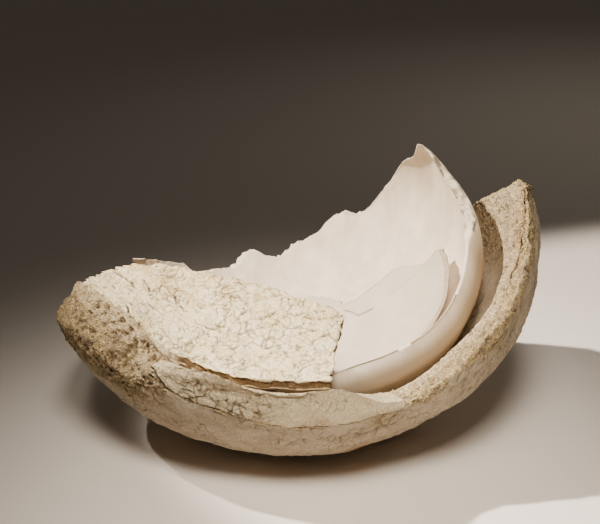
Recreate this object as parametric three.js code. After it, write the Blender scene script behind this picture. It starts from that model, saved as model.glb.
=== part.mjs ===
// A broken-open plaster mould for casting a bowl, in millimetres, +Z up.
//
// The mould is a thick bowl-shaped wall in two coats that lies on its round bottom, on a small
// flat that is worn into it. The cast white bowl still sits inside, tipped towards the front,
// with a thinner second cast in it, and a cracked slab of facing plaster lies over the left
// half. Every wall is the space between two ellipsoids, and ends at a broken rim: the rim is a
// list of [azimuth, rise] pairs in degrees, where azimuth 0 is +X and 90 is +Y, and rise is
// the angle up from the bottom pole, so that 90 is the widest level.

import * as THREE from 'three';

// The wall of the mould, about its own centre
const WALL_CENTRE = new THREE.Vector3(0, 0, 204);
const WALL_OUTSIDE = { x: 249, y: 235, z: 209 };
const COAT_JOINT = { x: 228, y: 214, z: 189 };
const WALL_INSIDE = { x: 214, y: 200, z: 176 };

// The cast bowl and the second cast in it share a centre and a tipped axis
const BOWL_CENTRE = new THREE.Vector3(13.3, 18, 172.5);
const BOWL_AXIS = new THREE.Vector3(-0.12, -0.443, 0.889).normalize();
const BOWL_OUTSIDE = { x: 181, y: 175, z: 123 };
const BOWL_INSIDE = { x: 167, y: 162, z: 111 };
const SECOND_OUTSIDE = { x: 151, y: 151, z: 101 };
const SECOND_INSIDE = { x: 146.5, y: 146.5, z: 96.5 };

const REST_RISE = 14; // edge of the worn flat that the mould lies on
const COAT_GAP = 0.6; // open joint between the two coats
const CRACK_GAP = 1.4; // open crack under the front lip
const SLAB_THICKNESS = 9;

const SEGMENTS = 60; // facets round a wall
const SEGMENT_ANGLE = 360 / SEGMENTS;
const WALL_STEPS = 7; // facets from the bottom pole to the rim

// Where the two coats end, from the right horn round the back to the front
const OUTER_RIM = [
  [0, 103.5], [12, 101], [18, 98], [24, 95], [33, 88.5], [45, 80], [60, 71], [75, 67],
  [90, 64], [115, 62], [130, 64], [144, 69], [160, 70], [175, 72], [186, 74], [192, 76.3],
  [198, 78], [204, 79], [210, 79], [216, 77.3], [222, 75], [228, 70.5], [240, 70.5], [246, 67.3], [252, 65.5],
  [262, 62], [276, 60.5], [288, 62], [300, 64.5], [306, 67.5], [312, 71.5], [318, 77.5],
  [324, 82], [330, 86.5], [336, 93.5], [342, 100], [348, 107], [354, 105.5],
];
const INNER_RIM = [
  [0, 103], [12, 99], [18, 96], [24, 93], [33, 87], [45, 78], [60, 69], [75, 65],
  [90, 62], [115, 60], [130, 62], [144, 67], [160, 68], [175, 71], [186, 78], [192, 82],
  [204, 85.5], [216, 84.5], [222, 82.5], [228, 78.5], [234, 70], [240, 66], [248, 61],
  [258, 57.5], [276, 56], [294, 57], [306, 58.5], [312, 61.5], [318, 67.5], [324, 72.5],
  [330, 75.5], [336, 80], [342, 88], [348, 99], [354, 103],
];

// The front lip stands on the low front of the wall: how far its crest and its inner edge rise
const LIP_START = 228;
const LIP_END = 300;
const LIP_CREST = [
  [228, 72], [234, 75], [240, 77], [246, 77], [252, 76.5], [258, 74.3], [264, 72.8],
  [270, 72.2], [282, 72.7], [288, 69.5], [294, 66.5], [300, 65.7],
];
const LIP_INNER = [
  [228, 79.5], [234, 74], [240, 69.5], [246, 66.5], [256, 63], [270, 61], [282, 61.5],
  [290, 60.5], [300, 59.5],
];

const BOWL_RIM = [
  [0, 99], [6, 98.5], [12, 99.5], [18, 103], [24, 107], [30, 111.5], [36, 109], [42, 99.5],
  [48, 90], [54, 79.5], [60, 69], [66, 66], [72, 65], [78, 62], [84, 57], [90, 54.5], [96, 53],
  [102, 51.2], [108, 50.2], [114, 51], [120, 57], [126, 57.5], [132, 56], [138, 57.3],
  [144, 61], [150, 64], [156, 66], [165, 67], [180, 70], [200, 68], [225, 72], [250, 80],
  [268, 90], [278, 95], [298, 94.8], [313, 93.5], [328, 94.6], [345, 97.5],
];
// Loose pieces of the bowl's rim, still standing on it: how far the top of each one rises
const SHARD_1 = { from: 163.5, to: 170, steps: 2, high: [84, 91] };
const SHARD_2 = { from: 152.5, to: 162.5, steps: 2, high: [72.5, 82.5] };
const SHARD_CRACK = 1; // degrees of rise between a shard and the rim

const SECOND_RIM = [
  [0, 80], [6, 79], [12, 68], [18, 61.5], [24, 55], [30, 27], [40, 22.5], [60, 22], [90, 22],
  [120, 25], [160, 33], [200, 48], [240, 62], [270, 72], [300, 79], [318, 80], [334, 80],
  [347, 80],
];

// The slab hangs between these four edges of its top face
const SLAB_FRONT = [
  [-181, -94, 188], [-147, -131, 179], [-125, -144, 163], [-101, -160, 150], [-79, -180, 145],
  [-45, -199, 143], [-1, -205, 142], [35, -207, 143],
];
const SLAB_LEFT = [[-181, -94, 188], [-192, -62, 182], [-185, -28, 179], [-168, -3, 177]];
const SLAB_BACK = [
  [-168, -3, 177], [-128, 8, 173], [-77, -8, 168], [-26, -30, 165], [14, -52, 159],
  [52, -72, 151],
];
const SLAB_RIGHT = [[35, -207, 143], [39, -170, 140], [42, -126, 142], [52, -72, 151]];

const radians = THREE.MathUtils.degToRad;

// Value at an azimuth on a closed curve through [azimuth, value] pairs.
function around(stops, azimuth) {
  const count = stops.length;
  const turn = 360;
  const at = (i) => {
    const lap = Math.floor(i / count);
    const [angle, value] = stops[i - lap * count];
    return [angle + lap * turn, value];
  };
  const wrapped = ((azimuth % turn) + turn) % turn;
  let i = stops.findLastIndex(([angle]) => angle <= wrapped);
  const [a0, v0] = at(i);
  const [a1, v1] = at(i + 1);
  const [before, valueBefore] = at(i - 1);
  const [after, valueAfter] = at(i + 2);
  const span = a1 - a0;
  const slope0 = ((v1 - valueBefore) / (a1 - before)) * span;
  const slope1 = ((valueAfter - v0) / (after - a0)) * span;
  const t = (wrapped - a0) / span;
  const t2 = t * t;
  const t3 = t2 * t;
  return (2 * t3 - 3 * t2 + 1) * v0 + (t3 - 2 * t2 + t) * slope0
    + (3 * t2 - 2 * t3) * v1 + (t3 - t2) * slope1;
}

// Point on an ellipsoid about its centre, seen from there at an azimuth and a rise.
function onEllipsoid(axes, azimuth, rise, inset = 0) {
  const out = Math.sin(radians(rise));
  const direction = new THREE.Vector3(
    Math.cos(radians(azimuth)) * out,
    Math.sin(radians(azimuth)) * out,
    -Math.cos(radians(rise)),
  );
  const reach = 1 / Math.hypot(direction.x / axes.x, direction.y / axes.y, direction.z / axes.z);
  return direction.multiplyScalar(reach - inset);
}

// A closed wall between two faces: outside(azimuth, share) and inside(azimuth, share) give
// the point at a share of the way from the bottom pole to the rim.
function wallGeometry(outside, inside) {
  const profile = [];
  for (let k = 0; k <= WALL_STEPS; k += 1) {
    const angle = (k / WALL_STEPS) * Math.PI / 2;
    profile.push(new THREE.Vector2(2 * Math.sin(angle), -2 * Math.cos(angle)));
  }
  for (let k = WALL_STEPS; k >= 0; k -= 1) {
    const angle = (k / WALL_STEPS) * Math.PI / 2;
    profile.push(new THREE.Vector2(Math.sin(angle), -Math.cos(angle)));
  }
  const geometry = new THREE.LatheGeometry(profile, SEGMENTS);
  const position = geometry.attributes.position;
  for (let index = 0; index < position.count; index += 1) {
    const segment = Math.floor(index / profile.length) % SEGMENTS;
    const place = index % profile.length;
    const azimuth = segment * SEGMENT_ANGLE;
    const onOutside = place <= WALL_STEPS;
    const share = (onOutside ? place : profile.length - 1 - place) / WALL_STEPS;
    const point = onOutside ? outside(azimuth, share) : inside(azimuth, share);
    position.setXYZ(index, point.x, point.y, point.z);
  }
  matchDiagonals(geometry, profile.length);
  return geometry;
}

// Splits the inside facets along the same diagonal as the outside ones, so that two walls
// that share a face lie flat against each other.
function matchDiagonals(geometry, rowLength) {
  const corners = geometry.index;
  for (let start = 0; start < corners.count; start += 6) {
    const low = corners.getX(start);
    const next = corners.getX(start + 1);
    if (low % rowLength > WALL_STEPS) {
      const square = [low, next, next + 1, low, next + 1, low + 1];
      square.forEach((corner, i) => corners.setX(start + i, corner));
    }
  }
}

// A closed block of unit shares u, v, w, each from 0 to 1, bent by place(u, v, w).
function blockGeometry(stepsU, stepsV, stepsW, place) {
  const geometry = new THREE.BoxGeometry(1, 1, 1, stepsU, stepsV, stepsW);
  const position = geometry.attributes.position;
  for (let index = 0; index < position.count; index += 1) {
    const point = place(
      position.getX(index) + 0.5,
      position.getY(index) + 0.5,
      position.getZ(index) + 0.5,
    );
    position.setXYZ(index, point.x, point.y, point.z);
  }
  return geometry;
}

const object = new THREE.Group();

function addPiece(name, geometry, colour, roughness, parent = object) {
  const material = new THREE.MeshStandardMaterial({ color: colour, roughness, metalness: 0 });
  const mesh = new THREE.Mesh(geometry, material);
  mesh.name = name;
  parent.add(mesh);
}

// The wall of the mould. Its inside flares a little towards the highest points of the rim.
const FLARE_FROM = 82;
const FLARE_TO = 110;
const FLARE = 0.045;
const wall = new THREE.Group();
wall.position.copy(WALL_CENTRE);
object.add(wall);

function flared(point, rise) {
  return point.multiplyScalar(1 + FLARE * THREE.MathUtils.smoothstep(rise, FLARE_FROM, FLARE_TO));
}

function jointRise(azimuth) {
  return (around(OUTER_RIM, azimuth) + around(INNER_RIM, azimuth)) / 2;
}

// The first ring of facets is the worn flat, level with the ground.
function outsideOfWall(azimuth, share) {
  const flatShare = 1 / WALL_STEPS;
  const rise = share <= flatShare
    ? REST_RISE * (share / flatShare)
    : THREE.MathUtils.mapLinear(share, flatShare, 1, REST_RISE, around(OUTER_RIM, azimuth));
  const point = onEllipsoid(WALL_OUTSIDE, azimuth, rise);
  point.z = Math.max(point.z, -WALL_CENTRE.z);
  return point;
}

addPiece('backing_shell', wallGeometry(
  outsideOfWall,
  (azimuth, share) => {
    const rise = share * jointRise(azimuth);
    return flared(onEllipsoid(COAT_JOINT, azimuth, rise), rise);
  },
), 0xc9b898, 0.95, wall);

addPiece('face_coat', wallGeometry(
  (azimuth, share) => {
    const rise = share * jointRise(azimuth);
    return flared(onEllipsoid(COAT_JOINT, azimuth, rise, COAT_GAP), rise);
  },
  (azimuth, share) => {
    const rise = share * around(INNER_RIM, azimuth);
    return flared(onEllipsoid(WALL_INSIDE, azimuth, rise), rise);
  },
), 0xd8c8a8, 0.95, wall);

// The front lip: a rounded roll of the same wall, cracked off along its foot
function lipPoint(u, v, w) {
  const azimuth = LIP_START + u * (LIP_END - LIP_START);
  const foot = w < 0.5
    ? THREE.MathUtils.lerp(around(INNER_RIM, azimuth), jointRise(azimuth), 2 * w)
    : THREE.MathUtils.lerp(jointRise(azimuth), around(OUTER_RIM, azimuth), 2 * w - 1);
  const crest = THREE.MathUtils.lerp(around(LIP_INNER, azimuth), around(LIP_CREST, azimuth), w);
  const axes = [WALL_INSIDE, COAT_JOINT, WALL_OUTSIDE][Math.round(2 * w)];
  const rise = THREE.MathUtils.lerp(foot, crest, v);
  const rounding = 5 * v * v * (w === 0.5 ? -1 : 1);
  const point = onEllipsoid(axes, azimuth, rise, w === 0 ? -rounding : rounding);
  point.z += CRACK_GAP;
  return point;
}
addPiece('front_lip', blockGeometry(12, 4, 2, lipPoint), 0xcfc2a6, 0.95, wall);

// The casts, in their own tipped frame
const casts = new THREE.Group();
casts.position.copy(BOWL_CENTRE);
const castX = new THREE.Vector3(0, 1, 0).cross(BOWL_AXIS).normalize();
const castY = new THREE.Vector3().crossVectors(BOWL_AXIS, castX);
casts.setRotationFromMatrix(new THREE.Matrix4().makeBasis(castX, castY, BOWL_AXIS));
object.add(casts);

function castWall(outside, inside, rim) {
  return wallGeometry(
    (azimuth, share) => onEllipsoid(outside, azimuth, share * around(rim, azimuth)),
    (azimuth, share) => onEllipsoid(inside, azimuth, share * around(rim, azimuth)),
  );
}
addPiece('cast_bowl', castWall(BOWL_OUTSIDE, BOWL_INSIDE, BOWL_RIM), 0xefebe2, 0.7, casts);
addPiece('inner_cast', castWall(SECOND_OUTSIDE, SECOND_INSIDE, SECOND_RIM), 0xf1ede5, 0.7, casts);

function shardGeometry(shard) {
  return blockGeometry(shard.steps, 2, 1, (u, v, w) => {
    const azimuth = THREE.MathUtils.lerp(shard.from, shard.to, u);
    const low = around(BOWL_RIM, azimuth) + SHARD_CRACK;
    const high = THREE.MathUtils.lerp(shard.high[0], shard.high[1], u);
    const axes = w > 0.5 ? BOWL_OUTSIDE : BOWL_INSIDE;
    return onEllipsoid(axes, azimuth, THREE.MathUtils.lerp(low, high, v));
  });
}
addPiece('rim_shard_1', shardGeometry(SHARD_1), 0xf1ede5, 0.75, casts);
addPiece('rim_shard_2', shardGeometry(SHARD_2), 0xf1ede5, 0.75, casts);

// The slab: a bent sheet between its four edges
function edgeCurve(points) {
  return new THREE.CatmullRomCurve3(points.map(([x, y, z]) => new THREE.Vector3(x, y, z)));
}
const slabFront = edgeCurve(SLAB_FRONT);
const slabBack = edgeCurve(SLAB_BACK);
const slabLeft = edgeCurve(SLAB_LEFT);
const slabRight = edgeCurve(SLAB_RIGHT);

function slabTop(u, v) {
  const across = slabFront.getPointAt(u).lerp(slabBack.getPointAt(u), v);
  const along = slabLeft.getPointAt(v).lerp(slabRight.getPointAt(v), u);
  const front = slabFront.getPoint(0).lerp(slabFront.getPoint(1), u);
  const corners = front.lerp(slabBack.getPoint(0).lerp(slabBack.getPoint(1), u), v);
  return across.add(along).sub(corners);
}
addPiece('draped_slab', blockGeometry(12, 10, 1, (u, v, w) => {
  const point = slabTop(u, v);
  point.z -= (1 - w) * SLAB_THICKNESS;
  return point;
}), 0xe9dfc8, 0.9);

export default object;
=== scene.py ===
"""Looks of a broken-open plaster bowl mould with two casts, a slab and a lip.

Every piece is a dense closed mesh over its CAD solid. Lengths of the pieces are millimetres
until make_object() turns them into metres; the camera and the lights are in metres. The edges
of the walls are read off the frame. On a wall or a cast, an azimuth is an angle about its axis
and a rise is an angle up from its bottom pole, both in degrees, seen from its centre.
"""
import math

import bpy
import numpy as np
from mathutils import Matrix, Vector


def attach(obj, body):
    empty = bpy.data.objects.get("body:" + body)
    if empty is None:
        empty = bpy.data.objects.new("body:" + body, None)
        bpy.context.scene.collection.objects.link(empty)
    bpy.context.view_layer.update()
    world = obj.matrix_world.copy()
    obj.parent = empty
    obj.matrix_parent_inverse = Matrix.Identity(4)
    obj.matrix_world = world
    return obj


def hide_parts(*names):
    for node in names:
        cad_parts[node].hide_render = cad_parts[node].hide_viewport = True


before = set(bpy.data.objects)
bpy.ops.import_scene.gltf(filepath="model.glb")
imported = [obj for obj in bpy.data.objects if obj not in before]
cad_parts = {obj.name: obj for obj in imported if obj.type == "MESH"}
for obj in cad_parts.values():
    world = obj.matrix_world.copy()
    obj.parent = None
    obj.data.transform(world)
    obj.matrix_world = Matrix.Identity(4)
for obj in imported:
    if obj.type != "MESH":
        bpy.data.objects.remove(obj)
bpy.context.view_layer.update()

MM = 0.001
DEGREE = math.pi / 180
# These vertex colours carry cracks, pits, stains, raw plaster and, in places, painted shade.
MARKS_AND_SHADE = "marks_and_shade"  # the vertex colours that the materials read

# The mould's wall: three ellipsoids about one centre, as in the CAD part
WALL_CENTRE = np.array([0.0, 0.0, 204.0])
WALL_OUTSIDE = np.array([249.0, 235.0, 209.0])
COAT_JOINT = np.array([228.0, 214.0, 189.0])
WALL_INSIDE = np.array([214.0, 200.0, 176.0])

# The joint and the inside lean out by this share between these rises
FLARE_FROM, FLARE_TO, FLARE = 82.0, 110.0, 0.045

# The casts: ellipsoids about one centre with a tipped axis
BOWL_CENTRE = np.array([13.3, 18.0, 172.5])
BOWL_AXIS = np.array([-0.12, -0.443, 0.889])
BOWL_OUTSIDE = np.array([181.0, 175.0, 123.0])
BOWL_INSIDE = np.array([167.0, 162.0, 111.0])
SECOND_OUTSIDE = np.array([151.0, 151.0, 101.0])
SECOND_INSIDE = np.array([146.5, 146.5, 96.5])

CAD_FACET = 6.0  # degrees of azimuth between the CAD walls' vertices

# The lip, as (azimuth, rise) stops of its outer and its inner edge
LIP_START, LIP_END = 228.0, 300.0
LIP_CREST = [
    (228, 72), (234, 75), (240, 77), (246, 77), (252, 76.5), (258, 74.3), (264, 72.8),
    (270, 72.2), (282, 72.7), (288, 69.5), (294, 66.5), (300, 65.7),
]
LIP_INNER = [
    (228, 79.5), (234, 74), (240, 69.5), (246, 66.5), (256, 63), (270, 61), (282, 61.5),
    (290, 60.5), (300, 59.5),
]

# Loose pieces of the bowl's rim: azimuths, and the rise of the top edge at each end
SHARDS = {
    "rim_shard_1": {"from": 163.5, "to": 170, "high": (84, 91), "seed": 260},
    "rim_shard_2": {"from": 152.5, "to": 162.5, "high": (72.5, 82.5), "seed": 280},
}
SHARD_CRACK = 1.0  # rise from the bowl's edge to the foot of a shard

# The slab's top, as points along each edge
SLAB_THICKNESS = 9.0
SLAB_FRONT = [
    (-181, -94, 188), (-147, -131, 179), (-125, -144, 163), (-101, -160, 150),
    (-79, -180, 145), (-45, -199, 143), (-1, -205, 142), (35, -207, 143),
]
SLAB_LEFT = [(-181, -94, 188), (-192, -62, 182), (-185, -28, 179), (-168, -3, 177)]
SLAB_BACK = [
    (-168, -3, 177), (-128, 8, 173), (-77, -8, 168), (-26, -30, 165), (14, -52, 159),
    (52, -72, 151),
]
SLAB_RIGHT = [(35, -207, 143), (39, -170, 140), (42, -126, 142), (52, -72, 151)]


# ---------------------------------------- noise

# Large odd factors that scramble a cell's place and a seed into a number
CELL_FACTORS = (374761393, 668265263, 1440662683)
SEED_FACTOR = 974634777
SCRAMBLES = ((13, 1274126177), (15, 668265263))
LOW_32_BITS = 0xFFFFFFFF
LOW_24_BITS = 0xFFFFFF
FIRST_CELL = 1000.0  # keeps the numbers of the cells above zero


def lattice(cell, seed):
    """A number from 0 to 1 for each integer cell."""
    key = sum(cell[..., k] * factor for k, factor in enumerate(CELL_FACTORS))
    key = (key + seed * SEED_FACTOR) & LOW_32_BITS
    for shift, factor in SCRAMBLES:
        key = ((key ^ (key >> shift)) * factor) & LOW_32_BITS
    return ((key ^ (key >> 16)) & LOW_24_BITS) / (LOW_24_BITS + 1)


def noise(points, size, seed=0):
    """Smooth noise from -1 to 1 with lumps of about size."""
    scaled = points / size + FIRST_CELL
    cell = np.floor(scaled).astype(np.int64)
    t = scaled - cell
    t = t * t * t * (t * (t * 6 - 15) + 10)
    total = np.zeros(len(points))
    for corner in np.ndindex(2, 2, 2):
        corner = np.array(corner)
        weight = np.prod(np.where(corner == 1, t, 1 - t), axis=1)
        total += weight * lattice(cell + corner, seed)
    return total * 2 - 1


def rough(points, size, octaves, seed=0, gain=0.5):
    """Noise summed over octaves, each half the size of the last."""
    total = np.zeros(len(points))
    weight = 1.0
    for octave in range(octaves):
        total += weight * noise(points, size / 2 ** octave, seed + 17 * octave)
        weight *= gain
    return total


def cells(points, size, seed=0):
    """(how far inside its cell, a value per cell) for random cells of about size."""
    scaled = points / size + FIRST_CELL
    home = np.floor(scaled).astype(np.int64)
    first = np.full(len(points), np.inf)
    second = np.full(len(points), np.inf)
    value = np.zeros(len(points))
    for corner in np.ndindex(3, 3, 3):
        cell = home + np.array(corner) - 1
        seat = np.stack([lattice(cell, seed + k) for k in (1, 2, 3)], axis=1)
        distance = np.linalg.norm(cell + seat - scaled, axis=1)
        nearer = distance < first
        second = np.where(nearer, first, np.minimum(second, distance))
        value = np.where(nearer, lattice(cell, seed + 4), value)
        first = np.where(nearer, distance, first)
    return (second - first) * size, value


def smoothstep(value, low, high):
    """0 up to low, 1 from high on, and a smooth rise between them."""
    t = np.clip((value - low) / (high - low), 0, 1)
    return t * t * (3 - 2 * t)


def lerp(a, b, t):
    return a + (b - a) * t


def warped(points, size, amount, seed):
    """The points moved about by noise, so that cells and cracks on them run unevenly."""
    shift = np.stack([noise(points, size, seed + k) for k in range(3)], axis=1)
    return points + amount * shift


# ---------------------------------------- walls as in the CAD part

def cubic(start, end, slope_start, slope_end, t):
    """The cubic from start to end with these slopes, at t from 0 to 1."""
    t2, t3 = t * t, t * t * t
    return ((2 * t3 - 3 * t2 + 1) * start + (t3 - 2 * t2 + t) * slope_start
            + (3 * t2 - 2 * t3) * end + (t3 - t2) * slope_end)


def around(stops, azimuth):
    """Value at an azimuth on a closed cubic curve through (azimuth, value) stops."""
    angles = np.array([angle for angle, _ in stops], float)
    values = np.array([value for _, value in stops], float)
    angles = np.concatenate([angles[-2:] - 360, angles, angles[:2] + 360])
    values = np.concatenate([values[-2:], values, values[:2]])
    wrapped = np.asarray(azimuth, float) % 360
    i = np.clip(np.searchsorted(angles, wrapped, side="right") - 1, 1, len(angles) - 3)
    a0, a1, v0, v1 = angles[i], angles[i + 1], values[i], values[i + 1]
    slope0 = (v1 - values[i - 1]) / (a1 - angles[i - 1]) * (a1 - a0)
    slope1 = (values[i + 2] - v0) / (angles[i + 2] - a0) * (a1 - a0)
    return cubic(v0, v1, slope0, slope1, (wrapped - a0) / (a1 - a0))


def apart(azimuth, other):
    """Degrees from 0 to 180 between two azimuths."""
    return np.abs((azimuth - other + 180) % 360 - 180)


def near_azimuth(azimuth, centre, near, far):
    """1 within near degrees of the centre, 0 beyond far."""
    return 1 - smoothstep(apart(azimuth, centre), near, far)


def azimuth_and_rise(local):
    """The two angles of points about the origin."""
    azimuth = np.degrees(np.arctan2(local[:, 1], local[:, 0])) % 360
    return azimuth, np.degrees(np.arccos(-local[:, 2] / np.linalg.norm(local, axis=1)))


def on_ellipsoid(axes, azimuth, rise, inset=0.0):
    """Points on an ellipsoid about its centre, seen from there at an azimuth and a rise."""
    azimuth, rise = np.broadcast_arrays(np.radians(azimuth), np.radians(rise))
    out = np.sin(rise)
    direction = np.stack([np.cos(azimuth) * out, np.sin(azimuth) * out, -np.cos(rise)], axis=-1)
    reach = 1 / np.linalg.norm(direction / axes, axis=-1)
    return direction * (reach - inset)[..., None]


def flare(rise):
    """How many times further out the joint and the inside are at a rise."""
    return 1 + FLARE * smoothstep(rise, FLARE_FROM, FLARE_TO)


def edge_from_frame(node, centre, turn, axes, flared=False):
    """(azimuth, rise) stops of a CAD wall's edge, on its face with these axes."""
    points = np.array([v.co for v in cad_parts[node].data.vertices]) / MM - centre
    points = points @ turn
    azimuth, rise = azimuth_and_rise(points)
    level = np.linalg.norm(points / axes, axis=1) / (flare(rise) if flared else 1)
    on_face = np.abs(level - 1) < 0.02
    return [(angle, rise[on_face & (apart(azimuth, angle) < 1)].max())
            for angle in np.arange(0, 360, CAD_FACET)]


def tipped(axis):
    """The turn that takes +Z to an axis; its columns are the new X, Y and Z."""
    z = axis / np.linalg.norm(axis)
    x = np.cross([0, 1, 0], z)
    x /= np.linalg.norm(x)
    return np.stack([x, np.cross(z, x), z], axis=1)


CAST_TURN = tipped(BOWL_AXIS)
UPRIGHT = np.eye(3)

OUTER_RIM = edge_from_frame("backing_shell", WALL_CENTRE, UPRIGHT, WALL_OUTSIDE)
INNER_RIM = edge_from_frame("face_coat", WALL_CENTRE, UPRIGHT, WALL_INSIDE, flared=True)
BOWL_RIM = edge_from_frame("cast_bowl", BOWL_CENTRE, CAST_TURN, BOWL_OUTSIDE)
SECOND_RIM = edge_from_frame("inner_cast", BOWL_CENTRE, CAST_TURN, SECOND_OUTSIDE)


# ---------------------------------------- meshes

class Surface:
    """Vertices, faces and, for each vertex, where it is on its piece."""

    def __init__(self, points, faces, **fields):
        self.points = points
        self.faces = faces
        self.seen = np.ones(len(faces), bool)  # faces that are not against another piece
        self.fields = fields

    def __getattr__(self, name):
        return self.fields[name]

    def normals(self):
        """Vertex normals from the faces that can be seen; zero where none can."""
        faces = self.faces[self.seen]
        a, b, c, d = (self.points[faces[:, k]] for k in range(4))
        cross = np.cross(c - a, d - b)
        total = np.zeros_like(self.points)
        for k in range(4):
            for axis in range(3):
                total[:, axis] += np.bincount(
                    faces[:, k], cross[:, axis], minlength=len(self.points))
        return total / np.maximum(np.linalg.norm(total, axis=1, keepdims=True), 1e-9)

    def move(self, offset):
        """Moves each vertex along its normal."""
        self.points = self.points + self.normals() * np.asarray(offset)[:, None]


def wall_surface(outside, inside, shares_out, shares_in, rim_steps, columns):
    """A closed wall: up its outside, over the rim and down its inside.

    Fields: azimuth, share from the pole to the rim, across from 0 outside to 1 inside.
    """
    azimuth = np.arange(columns) * 360.0 / columns
    top_out, top_in = outside(azimuth, 1.0), inside(azimuth, 1.0)
    rings = [(outside(azimuth, s), s, 0.0) for s in shares_out[1:]]
    rings += [(lerp(top_out, top_in, w), 1.0, w) for w in np.arange(1, rim_steps) / rim_steps]
    rings += [(inside(azimuth, s), s, 1.0) for s in shares_in[:0:-1]]
    rows = len(rings)
    circles, share, across = zip(*rings)
    points = np.concatenate([*circles, outside(azimuth[:1], 0.0), inside(azimuth[:1], 0.0)])
    index = np.arange(rows * columns).reshape(rows, columns)
    east = np.roll(index, -1, axis=1)
    quads = np.stack([index[:-1], east[:-1], east[1:], index[1:]], axis=-1).reshape(-1, 4)
    low, high = np.full(columns, rows * columns), np.full(columns, rows * columns + 1)
    first = np.stack([low, low, east[0], index[0]], axis=-1)
    last = np.stack([index[-1], east[-1], high, high], axis=-1)
    return Surface(
        points, np.concatenate([first, quads, last]),
        azimuth=np.concatenate([np.tile(azimuth, rows), [0, 0]]),
        share=np.concatenate([np.repeat(share, columns), [0, 0]]),
        across=np.concatenate([np.repeat(across, columns), [0, 1]]),
    )


def block_surface(us, vs, ws, place):
    """A closed block of unit shares u, v, w bent by place(u, v, w)."""
    counts = (len(us), len(vs), len(ws))
    i, j, k = np.meshgrid(*[np.arange(n) for n in counts], indexing="ij")
    skin = ((i == 0) | (i == counts[0] - 1) | (j == 0) | (j == counts[1] - 1)
            | (k == 0) | (k == counts[2] - 1))
    index = np.full(counts, -1)
    index[skin] = np.arange(skin.sum())
    u, v, w = us[i[skin]], vs[j[skin]], ws[k[skin]]

    def quads(sheet, flip):
        corners = [sheet[:-1, :-1], sheet[1:, :-1], sheet[1:, 1:], sheet[:-1, 1:]]
        if flip:
            corners.reverse()
        return np.stack(corners, axis=-1).reshape(-1, 4)

    faces = np.concatenate([
        quads(index[:, :, -1], False), quads(index[:, :, 0], True),
        quads(index[-1], False), quads(index[0], True),
        quads(index[:, 0, :], False), quads(index[:, -1, :], True),
    ])
    return Surface(place(u, v, w), faces, u=u, v=v, w=w)


def make_object(name, surface, material, node, body, marks_and_shade):
    """The piece itself, in metres. Its last argument holds three masks per vertex, each from 0 to
    1: darkening, a tint and raw plaster; in places the darkening and the tint are painted shade.
    """
    mesh = bpy.data.meshes.new(name)
    faces = [
        [corner for n, corner in enumerate(face) if corner != face[n - 1]]
        for face in surface.faces.tolist()
    ]
    mesh.from_pydata((surface.points * MM).tolist(), [], faces)
    colour = mesh.attributes.new(MARKS_AND_SHADE, "FLOAT_COLOR", "POINT")
    values = np.ones((len(surface.points), 4), np.float32)
    for k in range(3):
        values[:, k] = np.clip(marks_and_shade[k], 0, 1)
    colour.data.foreach_set("color", values.ravel())
    mesh.polygons.foreach_set("use_smooth", np.ones(len(mesh.polygons), bool))
    mesh.update()
    mesh.materials.append(material)
    piece = bpy.data.objects.new(name, mesh)
    bpy.context.scene.collection.objects.link(piece)
    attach(piece, body)
    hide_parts(node)


# ---------------------------------------- materials

def srgb(red, green, blue):
    """A colour given as eight-bit screen values, as linear light."""
    def linear(value):
        value /= 255
        return value / 12.92 if value <= 0.04045 else ((value + 0.055) / 1.055) ** 2.4
    return (linear(red), linear(green), linear(blue), 1.0)


GLOSS = 0.25


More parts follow.
